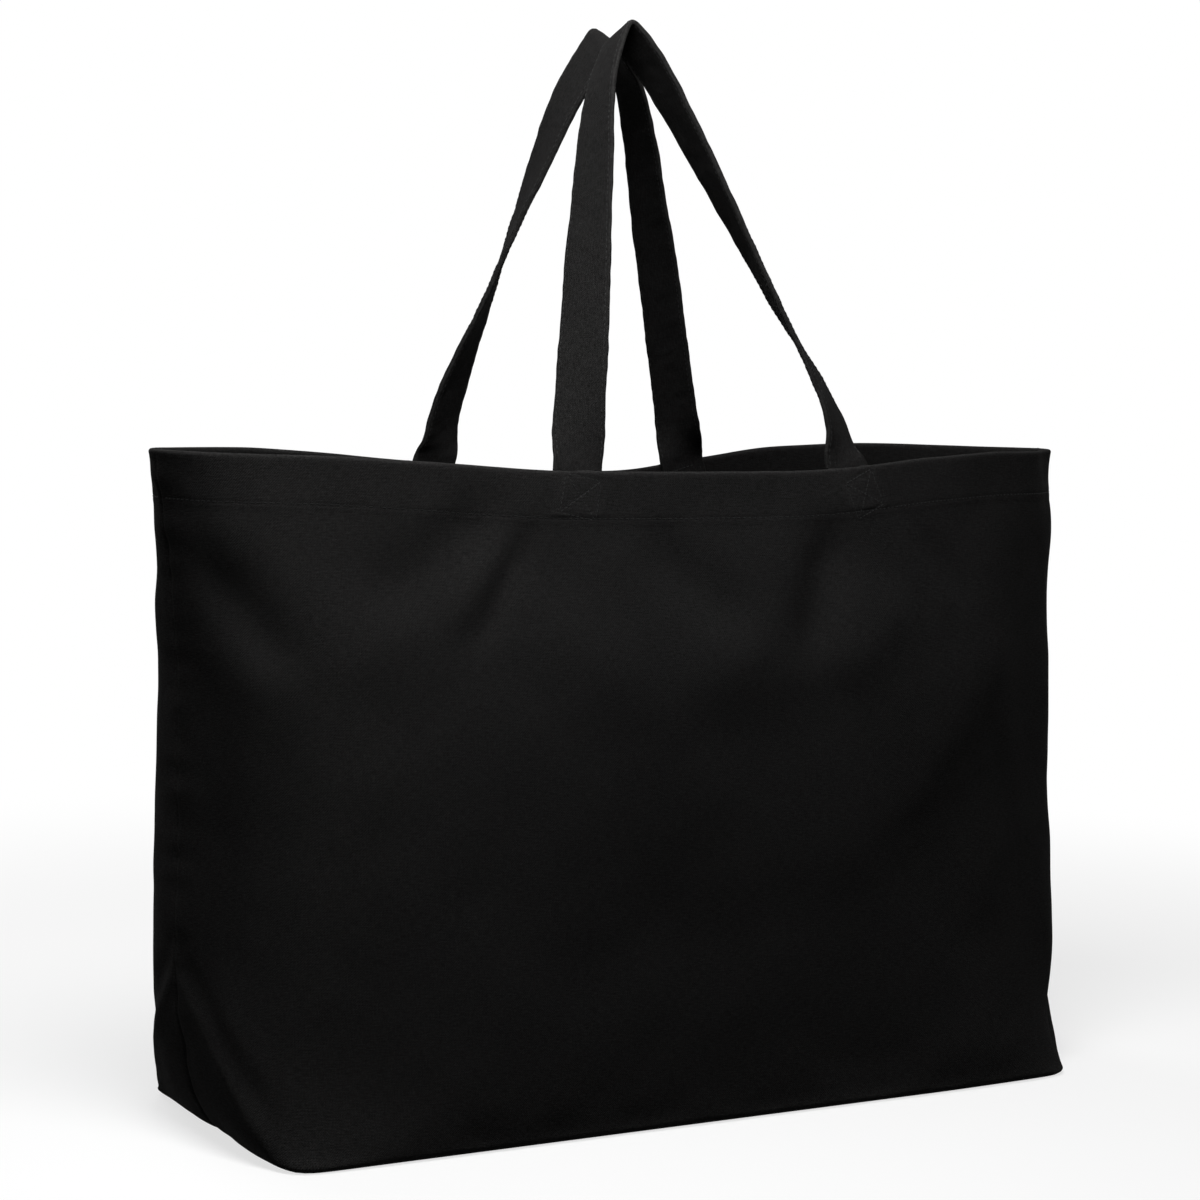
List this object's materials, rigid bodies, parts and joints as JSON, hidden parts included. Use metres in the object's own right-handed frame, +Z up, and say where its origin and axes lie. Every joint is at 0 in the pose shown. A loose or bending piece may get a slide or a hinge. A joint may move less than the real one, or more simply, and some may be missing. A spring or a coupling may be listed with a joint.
{
  "type": "canvas tote bag",
  "caption": "Large plain black canvas tote bag with a boxed base, turned hem and two strap handles leaning together.",
  "frame": {"origin": "centre of the whole bag in plan, on the surface that it stands on", "axes": "+Z up, X along the bag's width from side seam to side seam, +Y from the front wall to the back wall"},
  "size_m": [0.526, 0.203, 0.54],
  "materials": {
    "canvas": "matt plain-weave cotton canvas",
    "strap": "matt folded cotton canvas strap",
    "thread": "slightly lustrous sewing thread"
  },
  "bodies": {
    "bag": {"front_panel": "canvas", "back_panel": "canvas", "front_hem": "canvas", "back_hem": "canvas", "left_side_seam": "canvas", "right_side_seam": "canvas", "left_corner_seam": "canvas", "right_corner_seam": "canvas", "base_seam": "canvas", "front_left_handle_end": "strap", "front_right_handle_end": "strap", "back_left_handle_end": "strap", "back_right_handle_end": "strap", "front_hem_thread": "thread", "back_hem_thread": "thread", "front_left_box_thread": "thread", "front_right_box_thread": "thread", "back_left_box_thread": "thread", "back_right_box_thread": "thread"},
    "front_handle": {"front_handle": "strap", "front_handle_thread": "thread"},
    "back_handle": {"back_handle": "strap", "back_handle_thread": "thread"}
  },
  "joints": [
    {"name": "front_handle_swing", "type": "hinge", "parent": "bag", "child": "front_handle", "pos_m": [0, -0.082, 0.3265], "axis": [1, 0, 0], "range_deg": [0, 160]},
    {"name": "back_handle_swing", "type": "hinge", "parent": "bag", "child": "back_handle", "pos_m": [0, 0.082, 0.3245], "axis": [-1, 0, 0], "range_deg": [0, 160]}
  ]
}
